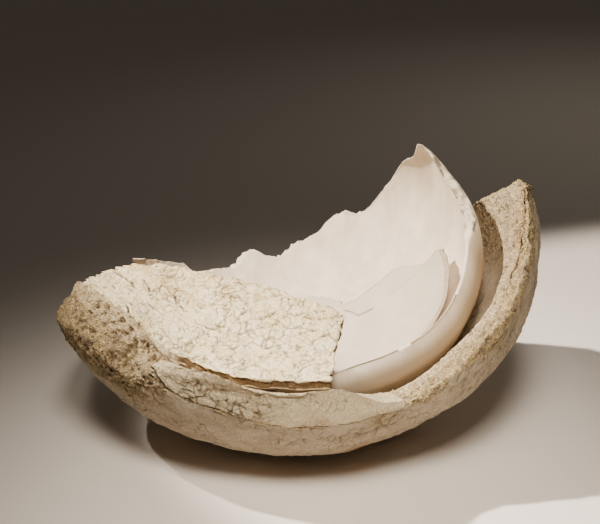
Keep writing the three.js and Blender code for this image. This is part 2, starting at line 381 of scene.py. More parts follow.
class Nodes:
    """Short names for building one material's node tree."""

    def __init__(self, name):
        self.material = bpy.data.materials.new(name)
        self.material.use_nodes = True
        self.tree = self.material.node_tree
        self.shader = self.tree.nodes["Principled BSDF"]
        self.place = self.add("ShaderNodeTexCoord").outputs["Object"]

    def feed(self, socket, value):
        """Links a node's output to a socket, or sets the socket to a plain value."""
        if hasattr(value, "is_linked"):
            self.tree.links.new(value, socket)
        else:
            socket.default_value = value

    def add(self, kind, **inputs):
        node = self.tree.nodes.new(kind)
        for key, value in inputs.items():
            self.feed(node.inputs[key.replace("_", " ")], value)
        return node

    def stretched(self, x, y, z):
        node = self.add("ShaderNodeMapping", Vector=self.place)
        node.inputs["Scale"].default_value = (x, y, z)
        return node.outputs["Vector"]

    def noise(self, size, detail=4.0, rough=0.6, place=None):
        """Noise from 0 to 1 with lumps of about size millimetres."""
        node = self.add("ShaderNodeTexNoise", Vector=place or self.place,
                        Scale=1 / (size * MM), Detail=detail, Roughness=rough)
        return node.outputs["Fac"]

    def warped_cells(self, size, feature, warp=0.6):
        """Distances in random uneven cells of about size millimetres."""
        lump = size * 0.6
        shift = self.add("ShaderNodeTexNoise", Vector=self.place,
                         Scale=1 / (lump * MM), Detail=3.0)
        mix = self.tree.nodes.new("ShaderNodeVectorMath")
        mix.operation = "MULTIPLY_ADD"
        for socket, value in zip(
                mix.inputs, (shift.outputs["Color"], [size * warp * MM] * 3, self.place)):
            self.feed(socket, value)
        node = self.tree.nodes.new("ShaderNodeTexVoronoi")
        node.feature = feature
        node.inputs["Scale"].default_value = 1 / (size * MM)
        self.tree.links.new(mix.outputs[0], node.inputs["Vector"])
        return node.outputs["Distance"]

    def crack(self, size, width):
        """1 along the edges of random cells of about size, 0 away from them."""
        return self.ramp(self.warped_cells(size, "DISTANCE_TO_EDGE"), 0.0, width / size, 1.0, 0.0)

    def crumbs(self, size):
        """1 on the top of each crumb of about size, 0 in the hollows between them."""
        return self.ramp(self.warped_cells(size, "F1", 0.2), 0.1, 0.75, 1.0, 0.0)

    def ramp(self, value, low, high, bottom=0.0, top=1.0):
        node = self.add("ShaderNodeMapRange", Value=value)
        node.interpolation_type = "SMOOTHSTEP"
        for key, number in zip(("From Min", "From Max", "To Min", "To Max"),
                               (low, high, bottom, top)):
            node.inputs[key].default_value = number
        return node.outputs["Result"]

    def math(self, operation, a, b):
        node = self.tree.nodes.new("ShaderNodeMath")
        node.operation = operation
        for socket, value in zip(node.inputs, (a, b)):
            self.feed(socket, value)
        return node.outputs[0]

    def times(self, a, b):
        return self.math("MULTIPLY", a, b)

    def inverse(self, value):
        return self.math("SUBTRACT", 1.0, value)

    def mix(self, factor, a, b, blend="MIX"):
        node = self.tree.nodes.new("ShaderNodeMix")
        node.data_type = "RGBA"
        node.blend_type = blend
        for socket, value in ((node.inputs[0], factor), (node.inputs[6], a), (node.inputs[7], b)):
            self.feed(socket, value)
        return node.outputs[2]

    def grey(self, value):
        node = self.add("ShaderNodeCombineColor", Red=value, Green=value, Blue=value)
        return node.outputs["Color"]

    def marks_and_shade(self):
        """The three masks that the mesh carries: darkening, a tint and raw plaster; in places the
        first two are painted shade.
        """
        attribute = self.tree.nodes.new("ShaderNodeAttribute")
        attribute.attribute_name = MARKS_AND_SHADE
        split = self.add("ShaderNodeSeparateColor", Color=attribute.outputs["Color"])
        return [split.outputs[name] for name in ("Red", "Green", "Blue")]

    def finish(self, colour, heights, roughness):
        """heights are (value, depth in millimetres) pairs, from coarse to fine."""
        normal = None
        for value, depth in heights:
            bump = self.add("ShaderNodeBump", Strength=1.0, Distance=depth * MM, Height=value)
            if normal is not None:
                self.tree.links.new(normal, bump.inputs["Normal"])
            normal = bump.outputs["Normal"]
        for key, value in (("Base Color", colour), ("Normal", normal), ("Roughness", roughness),
                           ("Specular IOR Level", GLOSS)):
            self.feed(self.shader.inputs[key], value)
        return self.material


MUD_PLATE = 13  # millimetres across the plates between the fine mud cracks
CRACK_BROWN = (0.06, 0.04, 0.026, 1.0)  # inside the cracks of the casts, as linear light


def porous_plaster(name, light, mid, tint, raw, dark):
    """Rough grogged plaster: grains and open pores where it is torn, painted shade between the
    grains, mud cracks on its skin.
    """
    n = Nodes(name)
    dark_mask, tint_mask, raw_mask = n.marks_and_shade()
    mottle = n.ramp(n.noise(26, 5.0, 0.65), 0.35, 0.65)
    fine = n.noise(2.2, 6.0, 0.8)
    crumbs = n.crumbs(2.4)
    hollows = n.inverse(crumbs)
    torn = n.ramp(raw_mask, 0.0, 1.0, 0.3, 1.0)
    pores = n.times(n.ramp(n.noise(4.2, 3.0, 0.6), 0.56, 0.66),
                    n.ramp(n.noise(17, 3.0, 0.6), 0.42, 0.60))
    pores = n.times(pores, torn)
    some = n.ramp(n.noise(30, 3.0, 0.6), 0.46, 0.60)
    lines = n.times(n.crack(MUD_PLATE, 0.7), some)
    lines = n.times(lines, n.ramp(raw_mask, 0.0, 0.5, 1.0, 0.0))
    colour = n.mix(mottle, light, mid)
    colour = n.mix(raw_mask, colour, n.mix(n.ramp(n.noise(9, 4.0), 0.35, 0.75), raw, mid))
    # The tint: stains, and painted shade at the coat's step and in the lip's hollows.
    colour = n.mix(tint_mask, colour, tint)
    # Painted shade in the hollows between the crumbs where the plaster is torn.
    colour = n.mix(n.times(n.times(hollows, torn), 0.62), colour, dark)
    colour = n.mix(n.times(pores, 0.9), colour, dark)
    colour = n.mix(n.times(lines, 0.65), colour, dark)
    colour = n.mix(dark_mask, colour, dark)
    shade = n.grey(n.ramp(fine, 0.3, 0.7, 0.80, 1.08))
    colour = n.mix(1.0, colour, shade, "MULTIPLY")
    heights = [(n.noise(7, 5.0, 0.75), 1.6), (n.times(crumbs, torn), 1.6),
               (n.inverse(pores), 1.8), (fine, 1.8), (n.inverse(lines), 0.7)]
    return n.finish(colour, heights, n.ramp(fine, 0.2, 0.8, 0.86, 0.98))


def crackled_skin(name, light, mid, tint, raw, dark):
    """Cream skin with a net of fine cracks over raw tan plaster."""
    n = Nodes(name)
    dark_mask, tint_mask, raw_mask = n.marks_and_shade()
    mottle = n.ramp(n.noise(24, 5.0, 0.65), 0.38, 0.66)
    fine = n.noise(2.2, 6.0, 0.8)
    crumbs = n.crumbs(2.6)
    hollows = n.inverse(crumbs)
    other = n.ramp(n.noise(15, 3.0, 0.6), 0.44, 0.58)
    lines = n.times(n.crack(8, 0.35), other)
    lines = n.times(lines, n.inverse(raw_mask))
    specks = n.times(n.ramp(n.noise(3.2, 3.0, 0.6), 0.60, 0.68),
                     n.ramp(tint_mask, 0.0, 0.6, 0.15, 1.0))
    colour = n.mix(mottle, light, mid)
    broken_stain = n.times(tint_mask, n.ramp(n.noise(5, 5.0, 0.75), 0.30, 0.62))
    colour = n.mix(broken_stain, colour, tint)
    stained_hollows = n.times(hollows, n.ramp(tint_mask, 0.0, 1.0, 0.10, 0.4))
    colour = n.mix(stained_hollows, colour, tint)
    colour = n.mix(raw_mask, colour, n.mix(n.ramp(fine, 0.3, 0.7), raw, dark))
    colour = n.mix(n.times(specks, 0.55), colour, dark)
    colour = n.mix(n.times(lines, 0.5), colour, dark)
    colour = n.mix(dark_mask, colour, dark)
    shade = n.grey(n.ramp(fine, 0.3, 0.7, 0.86, 1.04))
    colour = n.mix(1.0, colour, shade, "MULTIPLY")
    heights = [(n.noise(9, 5.0, 0.7), 1.5), (crumbs, 0.5), (fine, 1.2),
               (n.inverse(specks), 1.0), (n.inverse(lines), 0.6)]
    return n.finish(colour, heights, n.ramp(fine, 0.2, 0.8, 0.80, 0.95))


def cast_plaster(name, light, mid, dark, streak):
    """Smooth matte white with faint streaks up the wall and soft marks across it."""
    n = Nodes(name)
    dark_mask, tint_mask, raw_mask = n.marks_and_shade()
    streaks = n.noise(22, 5.0, 0.6, n.stretched(1.0, 1.0, 0.20))
    cloud = n.ramp(n.noise(38, 4.0, 0.6), 0.35, 0.65)
    fine = n.noise(1.8, 5.0, 0.7)
    colour = n.mix(n.ramp(streaks, 0.35, 0.7, 0.0, streak), light, mid)
    colour = n.mix(n.times(cloud, 0.6), colour, mid)
    colour = n.mix(n.times(raw_mask, 0.8), colour, mid)
    grit = n.times(raw_mask, n.ramp(fine, 0.45, 0.65))
    colour = n.mix(n.times(grit, 0.55), colour, dark)
    # The tint: painted shade on the bowl's outside below its front rim, and a darker tone on the
    # inner cast's broken edge.
    colour = n.mix(tint_mask, colour, dark)
    colour = n.mix(dark_mask, colour, CRACK_BROWN)
    heights = [(streaks, 0.9), (n.noise(11, 4.0, 0.6), 0.5),
               (n.times(fine, n.ramp(raw_mask, 0.0, 1.0, 0.10, 1.4)), 1.0)]
    return n.finish(colour, heights, n.ramp(streaks, 0.2, 0.8, 0.62, 0.80))


# ---------------------------------------- surface character

# One seed for all pieces, so that the relief runs on from one to the next
TORN_SEED = 60
SKIN_SEED = 40


def spongy(points, seed=TORN_SEED):
    """(offset, dark) of a torn face of grogged plaster: lumps, grains and open pits."""
    lumps = 1.7 * rough(points, 22, 2, seed) + 1.6 * rough(points, 6, 3, seed + 5, 0.75)
    inside, value = cells(warped(points, 4, 2.0, seed + 9), 4.0, seed + 11)
    pit = (value < 0.20) * smoothstep(inside, 0.1, 1.2)
    return lumps + 1.5 * (value - 0.5) - 0.9 - 2.6 * pit, 0.6 * pit


def outer_skin(points, seed=SKIN_SEED):
    """(offset, dark) of the mould's outside: hollows, plates between mud cracks, crumbs."""
    hollows = 2.4 * rough(points, 55, 2, seed) + 0.8 * rough(points, 14, 3, seed + 3)
    crumbs = 0.8 * rough(points, 4, 2, seed + 6)
    inside, value = cells(warped(points, 9, 3.6, seed + 21), 14.0, seed + 23)
    where = smoothstep(noise(points, 42, seed + 29), -0.2, 0.25)
    line = (1 - smoothstep(inside, 0.2, 1.6)) * where
    return hollows + crumbs + 0.8 * (value - 0.5) * where - 1.4 * line, 0.8 * line


def line_distance(x, y, stops):
    """Distance from each point to a broken line through the stops."""
    best = np.full(len(x), np.inf)
    for (x0, y0), (x1, y1) in zip(stops, stops[1:]):
        along = ((x - x0) * (x1 - x0) + (y - y0) * (y1 - y0)) / ((x1 - x0) ** 2 + (y1 - y0) ** 2)
        t = np.clip(along, 0, 1)
        best = np.minimum(best, np.hypot(x - lerp(x0, x1, t), y - lerp(y0, y1, t)))
    return best


def groove(x, y, stops, half_width):
    """1 on a broken line, 0 further than half_width from it."""
    return 1 - smoothstep(line_distance(x, y, stops), 0.25 * half_width, half_width)


def angles_about(points, centre, turn, reach):
    """(azimuth, rise) of points about a centre, as lengths at this reach."""
    azimuth, rise = azimuth_and_rise((points - centre) @ turn)
    return azimuth * DEGREE * reach, rise * DEGREE * reach


def as_lengths(path, reach):
    """(azimuth, rise) stops as lengths at this reach, as angles_about gives them."""
    return [(azimuth * DEGREE * reach, rise * DEGREE * reach) for azimuth, rise in path]


# ---------------------------------------- the mould's wall

def graded(steps, power=1):
    """Shares from 0 to 1, closer together towards 1 for powers under 1."""
    return (np.arange(steps + 1) / steps) ** power


def packed(coarse, fine, edge):
    """Shares from 0 to 1, with fine steps above the share edge."""
    below = np.linspace(0, edge, coarse, endpoint=False)
    return np.concatenate([below, np.linspace(edge, 1, fine)])


WORN_DEPTH, WORN_DOWN_TO = 4.5, 14.0  # the round edge of the arms
HORN_INSET = 4.5  # how far the horn's outside is drawn in
WALL_GAP, RIM_GAP = 0.6, 0.15  # between the shell and the coat
CLEAR_OF_GROUND = 22.0  # the relief fades out below this height


def ragged(azimuth, seed, amount):
    """Unevenness of a broken rim, in degrees of rise."""
    ring = on_ellipsoid(WALL_OUTSIDE, azimuth, 90.0)
    return amount * (0.7 * rough(ring, 22, 3, seed) + 0.3 * rough(ring, 5, 2, seed + 4))


def outer_rise(azimuth):
    return around(OUTER_RIM, azimuth) + ragged(azimuth, 3, 0.45)


def horn(azimuth):
    return near_azimuth(azimuth, 352, 9, 22)


def left_arm(azimuth):
    return near_azimuth(azimuth, 208, 14, 34)


def middle_rise(azimuth):
    """Half way between the edges, where the two coats meet in the broken rim."""
    between = (around(OUTER_RIM, azimuth) + around(INNER_RIM, azimuth)) / 2
    return between + ragged(azimuth, 5, 0.4)


def inner_rise(azimuth):
    return around(INNER_RIM, azimuth) + ragged(azimuth, 7, 0.45)


def shell_outside(azimuth, share):
    """The outside, its edge worn round along both arms and drawn in on the horn."""
    rise = share * outer_rise(azimuth)
    below = (1 - share) * rise * DEGREE * WALL_OUTSIDE[0]
    worn = near_azimuth(azimuth, 318, 20, 30) + 0.7 * near_azimuth(azimuth, 207, 22, 34)
    gone = np.clip(1 - below / WORN_DOWN_TO, 0, 1)
    inset = WORN_DEPTH * worn * (1 - np.sqrt(1 - gone ** 2))
    inset += HORN_INSET * near_azimuth(azimuth, 358, 10, 30) * smoothstep(rise, 76, 92)
    points = on_ellipsoid(WALL_OUTSIDE, azimuth, rise, inset)
    points[:, 2] = np.maximum(points[:, 2], -WALL_CENTRE[2])
    return points + WALL_CENTRE


def shell_inside(azimuth, share):
    rise = share * (middle_rise(azimuth) - 1.0 * horn(azimuth))
    return on_ellipsoid(COAT_JOINT, azimuth, rise) * flare(rise)[:, None] + WALL_CENTRE


def coat_outside(azimuth, share):
    gap = lerp(WALL_GAP, RIM_GAP, smoothstep(share, 0.9, 1.0))
    rise = share * (middle_rise(azimuth) + 0.5 * horn(azimuth))
    return on_ellipsoid(COAT_JOINT, azimuth, rise, gap) * flare(rise)[:, None] + WALL_CENTRE


def coat_inside(azimuth, share):
    rise = share * inner_rise(azimuth)
    return on_ellipsoid(WALL_INSIDE, azimuth, rise) * flare(rise)[:, None] + WALL_CENTRE


def under_lip(azimuth):
    return (azimuth > LIP_START) & (azimuth < LIP_END)


def build_shell(material):
    s = wall_surface(
        shell_outside, shell_inside, shares_out=graded(92, 0.8),
        shares_in=graded(8, 0.6), rim_steps=14, columns=830)
    middle = s.across[s.faces].mean(axis=1)
    hidden_rim = (middle > 0) & under_lip(s.azimuth[s.faces].mean(axis=1))
    s.seen = (middle < 0.99) & ~hidden_rim
    base = s.points
    skin, skin_dark = outer_skin(base)
    torn, torn_dark = spongy(base)
    on_rim = np.clip(smoothstep(s.across, 0.0, 0.12) + smoothstep(s.share, 0.99, 1.0), 0, 1)
    left = left_arm(s.azimuth)
    right = near_azimuth(s.azimuth, 335, 34, 46)
    wander = 0.05 * rough(base, 25, 2, 85)
    edge = left * smoothstep(s.share + wander, 0.80, 0.97)
    edge += right * smoothstep(s.share + wander, 0.91, 0.98)
    rubble = np.clip(on_rim + edge, 0, 1)
    off_ground = smoothstep(base[:, 2], 1.0, CLEAR_OF_GROUND)
    s.move(lerp(skin, torn, rubble) * off_ground)
    s.points[:, 2] = np.maximum(s.points[:, 2], 0.0)
    low = 1 - smoothstep(base[:, 2], 25, 75)
    burnt = low * smoothstep(rough(base, 35, 3, 81), -0.1, 0.7)
    # The left arm's torn face is darker: partly its browner colour, partly painted shade.
    dark = lerp(skin_dark, torn_dark, rubble) + 0.22 * left * rubble
    make_object("shell", s, material, "backing_shell", "mould",
                (dark, 0.6 * burnt, rubble))


def build_coat(material):
    s = wall_surface(
        coat_outside, coat_inside, shares_out=graded(8, 0.6),
        shares_in=packed(70, 20, 0.9), rim_steps=12, columns=800)
    s.seen = s.across[s.faces].mean(axis=1) > 0.01
    base = s.points
    torn, torn_dark = spongy(base)
    inside, value = cells(warped(base, 7, 2.0, 71), 6.0, 73)
    pit = (value < 0.22) * smoothstep(inside, 0.5, 2.0)
    wall_face = 0.6 * rough(base, 12, 3, 75) - 1.2 - 1.6 * pit
    on_rim = 1 - smoothstep(s.across, 0.85, 1.0)
    left = left_arm(s.azimuth)
    # Along the coat's outer edge on the horn, where it stands proud of the shell: a brown joint,
    # and painted shadow of the step.
    joint_and_step_shade = (1 - smoothstep(s.across, 0.0, 0.16)) * horn(s.azimuth)
    meet_slab = 2.0 * near_azimuth(s.azimuth, 212, 20, 32) * on_rim
    meet_slab *= smoothstep(s.across, 0.2, 0.8)
    torn_inside = 0.7 * near_azimuth(s.azimuth, 5, 20, 32) * smoothstep(s.share, 0.74, 0.86)
    rubble = np.maximum(on_rim, torn_inside)
    s.move(lerp(wall_face, torn, rubble) + meet_slab)
    # The coat's rim on the left arm is darker: partly its browner colour, partly painted shade.
    dark = lerp(0.4 * pit, torn_dark, rubble) + 0.18 * left * on_rim
    # Darker and tinted there: the joint's brown and painted shadow of the step.
    dark += 0.6 * joint_and_step_shade * smoothstep(rough(base, 9, 2, 95), -0.3, 0.3)
    tint = 0.3 * smoothstep(rough(base, 20, 3, 91), 0.1, 0.8) + 0.5 * joint_and_step_shade
    make_object("facing", s, material, "face_coat", "mould",
                (dark, tint, rubble))


LIP_ROLL, LIP_CROWN = 6.0, 3.0  # how far its top edges roll over and its middle rises
LIP_GAP, LIP_GAPING = 0.2, 1.0  # the crack at its foot, and how much wider it is in one place

# Marks on the front lip, as (azimuth, rise) about the wall's centre
LIP_CRACK = [(232, 77), (237, 74.8), (239.6, 70.7), (244.4, 67.8), (248, 66.2), (252, 65.9)]
LIP_HOLLOWS = [
    [(248, 73.2), (256, 71.9), (262, 71.7)],
    [(265, 71.6), (274, 70.6)],
]


def lip_place(u, v, w):
    """The lip's block: along it, up it and out through it, its top rolled over and crowned."""
    azimuth = lerp(LIP_START, LIP_END, u)
    in_coat, in_shell = np.minimum(2 * w, 1), np.maximum(2 * w - 1, 0)
    foot = lerp(inner_rise(azimuth), middle_rise(azimuth), in_coat)
    foot = lerp(foot, outer_rise(azimuth), in_shell)
    crest = lerp(around(LIP_INNER, azimuth), around(LIP_CREST, azimuth), w)
    rise = lerp(foot, crest, v)
    inner, joint, outer = (
        on_ellipsoid(axes, azimuth, rise) for axes in (WALL_INSIDE, COAT_JOINT, WALL_OUTSIDE))
    point = lerp(lerp(inner, joint, in_coat[:, None]), outer, in_shell[:, None])
    away = 2 * w - 1
    roll = LIP_ROLL * v ** 3 * away ** 2 * np.sign(away)
    point -= point / np.linalg.norm(point, axis=1, keepdims=True) * roll[:, None]
    crown = LIP_CROWN * v ** 2 * (1 - away ** 2)
    point[:, 2] += crown + LIP_GAP + LIP_GAPING * near_azimuth(azimuth, 249, 4, 8)
    return point + WALL_CENTRE


def build_lip(material):
    s = block_surface(graded(300), graded(24), graded(24), lip_place)
    s.seen = s.v[s.faces].max(axis=1) > 0
    base = s.points
    skin, skin_dark = outer_skin(base)
    torn, torn_dark = spongy(base)
    crumbly = 0.9 * rough(base, 18, 2, 131) + 0.6 * rough(base, 5, 3, 135)
    top = smoothstep(s.v, 0.5, 0.85)
    reach = WALL_OUTSIDE[0]
    across, up = angles_about(base, WALL_CENTRE, UPRIGHT, reach)
    crack, *hollows = [as_lengths(path, reach) for path in [LIP_CRACK] + LIP_HOLLOWS]
    wiggle = 1.5 * rough(base, 9, 2, 137)
    cut = groove(across + wiggle, up + wiggle, crack, 2.2)
    crack_across = np.interp(up, [y for _, y in crack[::-1]], [x for x, _ in crack[::-1]])
    torn_end = 1 - smoothstep(across + wiggle - crack_across, -1.5, 1.5)
    hollow = np.max([groove(across + 3 * wiggle, up + 2 * wiggle, path, 10.0)
                     for path in hollows], axis=0)
    hollow = hollow * smoothstep(s.w, 0.6, 0.9)
    offset = lerp(lerp(skin, crumbly, top * 0.7), torn, torn_end)
    s.move((offset - 2.8 * cut - 2.2 * hollow) * smoothstep(s.w, 0.0, 0.4))
    # The torn end is darker: partly the browner colour of the left arm's torn face, partly painted
    # shade.
    dark = lerp(lerp(skin_dark, 0.2 * skin_dark, top), torn_dark + 0.2, torn_end)
    dark = np.maximum(dark, 0.8 * cut)
    # The tint is painted shade in the lip's hollows.
    make_object("lip", s, material, "front_lip", "mould",
                (dark, 0.35 * hollow, np.maximum(torn_end, 0.2 + 0.2 * top)))


# ---------------------------------------- the casts

def cast_point(axes, azimuth, rise, inset=0.0):
    return on_ellipsoid(axes, azimuth, rise, inset) @ CAST_TURN.T + BOWL_CENTRE


BOWL_PEAK = 34  # azimuth of its highest point


def bowl_front(azimuth):
    """1 where the bowl's rim is bevelled and whole, at the front."""
    return near_azimuth(azimuth, 294, 54, 70)


def bowl_rise(azimuth):
    """The CAD edge, chipped, and cut down on both sides of the peak."""
    ring = on_ellipsoid(BOWL_OUTSIDE, azimuth, 90.0)
    jagged = 1 - near_azimuth(azimuth, 300, 50, 74)
    chips = 0.9 * rough(ring, 18, 4, 201) + 0.45 * noise(ring, 4, 205)
    cut = 3.0 * near_azimuth(azimuth, 24.5, 4.5, 9.5) + 2.0 * near_azimuth(azimuth, 39.5, 0.5, 6.5)
    return around(BOWL_RIM, azimuth) + lerp(0.15, 1.0, jagged) * chips - cut


def peak_lean(azimuth, rise):
    """How far the peak of the bowl stands out from the closing ellipsoid."""
    return 3.5 * near_azimuth(azimuth, BOWL_PEAK, 0, 16) * smoothstep(rise, 96, 109)


def inside_lean(azimuth, rise):
    """How far the inside goes out to meet the outside in a sharp peak."""
    lean = 4.0 * near_azimuth(azimuth, 24, 8, 20) + 7.0 * near_azimuth(azimuth, BOWL_PEAK, 0, 14)
    return lean * smoothstep(rise, 76, 110)


def bowl_outside(azimuth, share):
    """The outside, bevelled at the front and beside the peak, and leaning out at the peak."""
    rise = share * bowl_rise(azimuth)
    below = (1 - share) * rise * DEGREE * BOWL_OUTSIDE[0]
    front = bowl_front(azimuth)
    peak = near_azimuth(azimuth, 52, 8, 18)
    drop = 1.5 + 10.5 * front + 8.5 * peak
    length = 3.0 + 25.0 * front + 20.0 * peak
    gone = np.clip(1 - below / length, 0, 1)
    return cast_point(BOWL_OUTSIDE, azimuth, rise, drop * gone ** 1.6 - peak_lean(azimuth, rise))


def bowl_inside(azimuth, share):
    rise = share * bowl_rise(azimuth)
    return cast_point(
        BOWL_INSIDE, azimuth, rise, -peak_lean(azimuth, rise) - inside_lean(azimuth, rise))


# Cracks in the casts, as (azimuth, rise) about their centre
BOWL_FRONT_CRACK = [(272, 95.8), (277, 94.4), (282, 93.2)]
SECOND_CRACK = [(20.4, 20.5), (1.2, 26.7), (2.5, 31), (4.3, 35.3)]


def marked(points, path, reach, half_width):
    """A groove along (azimuth, rise) stops on a cast."""
    across, up = angles_about(points, BOWL_CENTRE, CAST_TURN, reach)
    level = np.sin(path[0][1] * DEGREE)
    stops = [(x * level, y) for x, y in as_lengths(path, reach)]
    return groove(across * level, up, stops, half_width)


def build_bowl(material):
    s = wall_surface(
        bowl_outside, bowl_inside, shares_out=packed(48, 22, 0.86),
        shares_in=packed(52, 20, 0.88), rim_steps=12, columns=640)
    base = s.points
    on_rim = smoothstep(s.across, 0.0, 0.1) * (1 - smoothstep(s.across, 0.9, 1.0))
    chipped = near_azimuth(s.azimuth, 14, 12, 20)
    torn = near_azimuth(s.azimuth, 130, 98, 118)
    chips = rough(base, 9, 4, 211)
    swell = 0.5 * rough(base, 45, 2, 215) - 0.5
    bite = chipped * smoothstep(s.share, 0.93, 1.0) * (s.across > 0.5)
    bite *= smoothstep(rough(base, 12, 3, 221), -0.2, 0.4)
    below = (1 - s.share) * bowl_rise(s.azimuth) * DEGREE * BOWL_OUTSIDE[0]
    off_line = np.abs(below - 3.0 + 0.9 * noise(base, 5, 225))
    side_crack = near_azimuth(s.azimuth, 0, 2.6, 4.6) * (1 - smoothstep(off_line, 0.4, 1.5))
    side_crack *= s.across < 0.5
    front_crack = marked(base, BOWL_FRONT_CRACK, BOWL_OUTSIDE[0], 1.0) * (s.across > 0.5)
    offset = swell + on_rim * (2.0 * chips * chipped + 0.9 * chips * torn)
    s.move(offset - 2.6 * bite - 1.5 * side_crack - 0.8 * front_crack)
    # Painted shade on the bowl's outside below its front rim, deeper further down towards the
    # mould.
    front_band_shade = bowl_front(s.azimuth) * smoothstep(below, 2.0, 18.0) * (s.across < 0.5)
    raw = np.clip(on_rim * np.maximum(chipped, 0.5 * torn) + 0.8 * bite, 0, 1)
    dark = np.maximum(0.9 * side_crack, 0.6 * front_crack)
    make_object("bowl", s, material, "cast_bowl", "cast",
                (dark, 0.9 * front_band_shade, raw))


# Steep drops of the second cast's edge: the facet's azimuth, and where the drop starts and ends
SECOND_STEPS = ((24, 24.5, 27.5), (6, 8.5, 10.5))


def second_rise(azimuth):
    """The CAD edge, its steep facets narrowed to sharp steps."""
    ring = on_ellipsoid(SECOND_OUTSIDE, azimuth, 90.0)
    wrapped = azimuth % 360
    for start, drop_from, drop_to in SECOND_STEPS:
        steep = (wrapped > start) & (wrapped < start + CAD_FACET)
        sharper = start + CAD_FACET * smoothstep(wrapped, drop_from, drop_to)
        wrapped = np.where(steep, sharper, wrapped)
    return around(SECOND_RIM, wrapped) + 0.7 * rough(ring, 14, 4, 241)


def second_outside(azimuth, share):
    return cast_point(SECOND_OUTSIDE, azimuth, share * second_rise(azimuth))


def second_inside(azimuth, share):
    """The inside, thicker towards the right end."""
    rise = share * second_rise(azimuth)
    thicker = 3.0 * near_azimuth(azimuth, 2, 6, 26) * smoothstep(share, 0.55, 0.95)
    return cast_point(SECOND_INSIDE, azimuth, rise, thicker)


def build_second(material):
    s = wall_surface(
        second_outside, second_inside, shares_out=graded(40, 0.8),
        shares_in=graded(100, 0.8), rim_steps=5, columns=560)
    base = s.points
    crack = marked(base, SECOND_CRACK, SECOND_INSIDE[2], 1.3) * (s.across > 0.5)
    s.move(0.4 * rough(base, 40, 2, 245) - 0.4 - 0.7 * crack)
    on_rim = smoothstep(s.across, 0.0, 0.2) * (1 - smoothstep(s.across, 0.8, 1.0))
    make_object("inner", s, material, "inner_cast", "inner",
                (0.6 * crack, 0.35 * on_rim, 0.8 * on_rim))


def build_shard(name, shard, material):
    def place(u, v, w):
        azimuth = lerp(shard["from"], shard["to"], u)
        low = around(BOWL_RIM, azimuth) + SHARD_CRACK
        high = lerp(shard["high"][0], shard["high"][1], u)
        ring = on_ellipsoid(BOWL_OUTSIDE, azimuth, 90.0)
        high = high + 1.2 * rough(ring, 14, 3, shard["seed"])
        rise = lerp(low, high, v)
        inner, outer = (cast_point(axes, azimuth, rise) for axes in (BOWL_INSIDE, BOWL_OUTSIDE))
        return lerp(inner, outer, w[:, None])

    s = block_surface(graded(40), graded(50), graded(9), place)
    base = s.points
    edge = np.maximum(np.maximum(np.abs(2 * s.u - 1), np.abs(2 * s.v - 1)) * 5 - 4, 0)
    s.move((0.7 * rough(base, 7, 3, shard["seed"] + 3) - 0.7) * edge)
    clean = np.zeros(len(base))
    make_object(name + "_piece", s, material, name, "cast",
                (clean, clean, 0.4 * edge))


# ---------------------------------------- the slab

def edge_curve(stops, shares):
    """Points by arc length along a centripetal Catmull-Rom curve through the stops."""
    stops = np.array(stops, float)
    knots = np.concatenate([[2 * stops[0] - stops[1]], stops, [2 * stops[-1] - stops[-2]]])
    spans = np.sqrt(np.linalg.norm(np.diff(knots, axis=0), axis=1))
    path = []
    for i in range(1, len(knots) - 2):
        p0, p1, p2, p3 = knots[i - 1:i + 3]
        d0, d1, d2 = spans[i - 1:i + 2]
        m1 = ((p1 - p0) / d0 - (p2 - p0) / (d0 + d1) + (p2 - p1) / d1) * d1
        m2 = ((p2 - p1) / d1 - (p3 - p1) / (d1 + d2) + (p3 - p2) / d2) * d1
        path.append(cubic(p1, p2, m1, m2, np.linspace(0, 1, 60)[:, None]))
    path = np.concatenate(path)
    run = np.concatenate([[0], np.cumsum(np.linalg.norm(np.diff(path, axis=0), axis=1))])
    wanted = np.asarray(shares) * run[-1]
    return np.stack([np.interp(wanted, run, path[:, k]) for k in range(3)], axis=1)


def slab_top(u, v):
    """The slab's top at shares u along it and v to the back, from its four edges."""
    across, along = v[:, None], u[:, None]
    front, back = edge_curve(SLAB_FRONT, u), edge_curve(SLAB_BACK, u)
    left, right = edge_curve(SLAB_LEFT, v), edge_curve(SLAB_RIGHT, v)
    near, far = (lerp(np.array(edge[0], float), np.array(edge[-1], float), along)
                 for edge in (SLAB_FRONT, SLAB_BACK))
    flat = lerp(near, far, across)
    return lerp(front, back, across) + lerp(left, right, along) - flat


# Its rough length and width, and its long cracks as points (along, back) on that size
SLAB_LENGTH, SLAB_WIDTH = 240.0, 200.0
SLAB_CRACKS = [
    [(12, 148), (20, 138), (28, 124), (36, 116), (42, 104)],
    [(22, 86), (28, 74), (36, 70), (44, 60), (50, 57)],
    [(38, 24), (46, 18), (50, 8), (60, 1)],
    [(44, 132), (54, 122), (58, 110)],
    [(70, 130), (80, 124), (88, 112), (96, 106)],
    [(62, 78), (76, 70), (84, 72)],
    [(110, 88), (124, 86), (134, 92)],
]
SLAB_REACH = 7.0  # how far its front left edge stands out over the wall
FAR = 400.0  # further than any place on it


def slab_place(u, v, w):
    """The slab's block: along it, to its back and up through it."""
    point = slab_top(u, v)
    along, back = u * SLAB_LENGTH, v * SLAB_WIDTH
    front_left = (1 - smoothstep(u, 0.38, 0.50)) * (1 - smoothstep(back, 0.0, 24.0))
    left = (1 - smoothstep(along, 0.0, 24.0)) * (1 - smoothstep(v, 0.45, 0.85))
    out = point * np.array([1, 1, 0])
    out /= np.linalg.norm(out, axis=1, keepdims=True)
    point += out * (SLAB_REACH * np.maximum(front_left, left))[:, None]
    point[:, 2] -= (1 - w) * SLAB_THICKNESS
    return point


